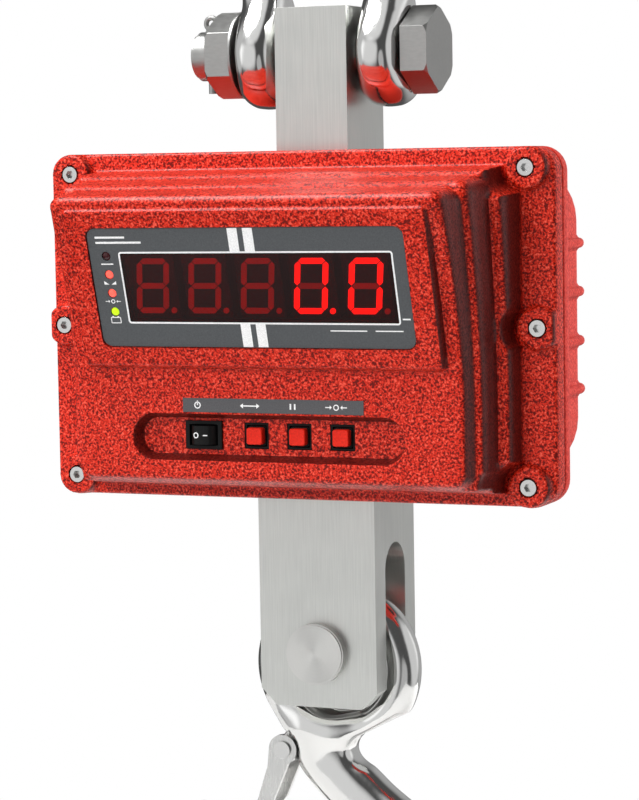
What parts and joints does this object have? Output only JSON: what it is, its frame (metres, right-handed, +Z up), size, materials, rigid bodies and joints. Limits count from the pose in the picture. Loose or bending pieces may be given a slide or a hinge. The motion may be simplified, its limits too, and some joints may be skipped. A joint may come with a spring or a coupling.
{
  "type": "crane scale",
  "caption": "Hanging crane scale with a bow shackle, through load cell, cast display case with keys and rocker switch, slotted clevis and latched eye hook.",
  "frame": {"origin": "hang point: the inside of the shackle's crown, on the load axis", "axes": "+Z up along the load axis, -Y out of the display, +X to the right seen from the display side"},
  "size_m": [0.2886, 0.175, 0.6636],
  "materials": {
    "polished_steel": "mirror-polished stainless steel",
    "satin_steel": "fine-ground stainless steel",
    "turned_steel": "turned face with fine rings",
    "zinc_steel": "bright zinc-plated steel",
    "latch_steel": "smooth satin steel",
    "screw_steel": "bright stainless steel",
    "red_enamel": "cast aluminium under red hammer-finish enamel",
    "black_rubber": "matte rubber",
    "panel_grey": "printed grey film",
    "window_red": "dark red filter window",
    "digit_red": "LED segments behind a red face",
    "board_green": "circuit board with solder mask",
    "black_plastic": "moulded black plastic",
    "key_red": "moulded red plastic",
    "cable_grey": "cable insulation",
    "battery_case": "moulded battery case",
    "plate_silver": "blank brushed aluminium plate"
  },
  "bodies": {
    "shackle": {"shackle_bow": "polished_steel", "shackle_bolt": "zinc_steel", "shackle_nut": "zinc_steel", "shackle_washer": "zinc_steel", "cotter_pin": "zinc_steel"},
    "scale": {"load_cell": "satin_steel", "clevis_pin": "turned_steel", "bracket_bolts": "zinc_steel", "cell_bracket": "zinc_steel", "pin_washer": "latch_steel", "pin_circlip": "latch_steel", "cap_hinge_pin": "latch_steel", "case_screws": "screw_steel", "door_screws": "screw_steel", "display_screws": "screw_steel", "main_board_screws": "screw_steel", "battery_strap": "screw_steel", "gauge_covers": "screw_steel", "front_casting": "red_enamel", "rear_casting": "red_enamel", "battery_door": "red_enamel", "case_gasket": "black_rubber", "top_seal": "black_rubber", "bottom_seal": "black_rubber", "window_seal": "black_rubber", "door_gasket": "black_rubber", "cell_cable": "black_rubber", "display_panel": "panel_grey", "key_label": "panel_grey", "display_window": "window_red", "digit_1": "digit_red", "digit_2": "digit_red", "digit_3": "digit_red", "digit_4": "digit_red", "digit_5": "digit_red", "status_leds": "digit_red", "display_board": "board_green", "key_board": "board_green", "main_board": "board_green", "key_frames": "black_plastic", "rocker_housing": "black_plastic", "charge_socket": "black_plastic", "display_cable": "cable_grey", "battery_lead": "cable_grey", "battery": "battery_case", "rating_plate": "plate_silver"},
    "hook": {"hook": "polished_steel", "latch_pin": "latch_steel", "latch_spring": "latch_steel"},
    "latch": {"latch": "latch_steel"},
    "rocker": {"rocker": "black_plastic"},
    "key_1": {"key_cap_1": "key_red"},
    "key_2": {"key_cap_2": "key_red"},
    "key_3": {"key_cap_3": "key_red"},
    "socket_cap": {"socket_cap": "black_rubber"}
  },
  "joints": [
    {"name": "shackle_swing", "type": "hinge", "parent": "shackle", "child": "scale", "pos_m": [0, 0, -0.1085], "axis": [1, 0, 0], "range_deg": [-95, 95]},
    {"name": "hook_swing", "type": "hinge", "parent": "scale", "child": "hook", "pos_m": [0, 0, -0.4334], "axis": [0, 1, 0], "range_deg": [-60, 60]},
    {"name": "latch_hinge", "type": "hinge", "parent": "hook", "child": "latch", "pos_m": [-0.03, 0, -0.4923], "axis": [0, 1, 0], "range_deg": [-30, 0], "stiffness_Nm_per_rad": 0.12, "springref_deg": 34.38},
    {"name": "rocker_switch", "type": "hinge", "parent": "scale", "child": "rocker", "pos_m": [-0.0388, -0.0846, -0.3095], "axis": [0, 0, 1], "range_deg": [0, 16]},
    {"name": "key_1_press", "type": "slide", "parent": "scale", "child": "key_1", "axis": [0, 1, 0], "range_m": [0, 0.0012], "stiffness_N_per_m": 600, "springref_m": -0.0008},
    {"name": "key_2_press", "type": "slide", "parent": "scale", "child": "key_2", "axis": [0, 1, 0], "range_m": [0, 0.0012], "stiffness_N_per_m": 600, "springref_m": -0.0008},
    {"name": "key_3_press", "type": "slide", "parent": "scale", "child": "key_3", "axis": [0, 1, 0], "range_m": [0, 0.0012], "stiffness_N_per_m": 600, "springref_m": -0.0008},
    {"name": "cap_hinge", "type": "hinge", "parent": "scale", "child": "socket_cap", "pos_m": [0.092, 0.0172, -0.3421], "axis": [1, 0, 0], "range_deg": [0, 100]}
  ]
}
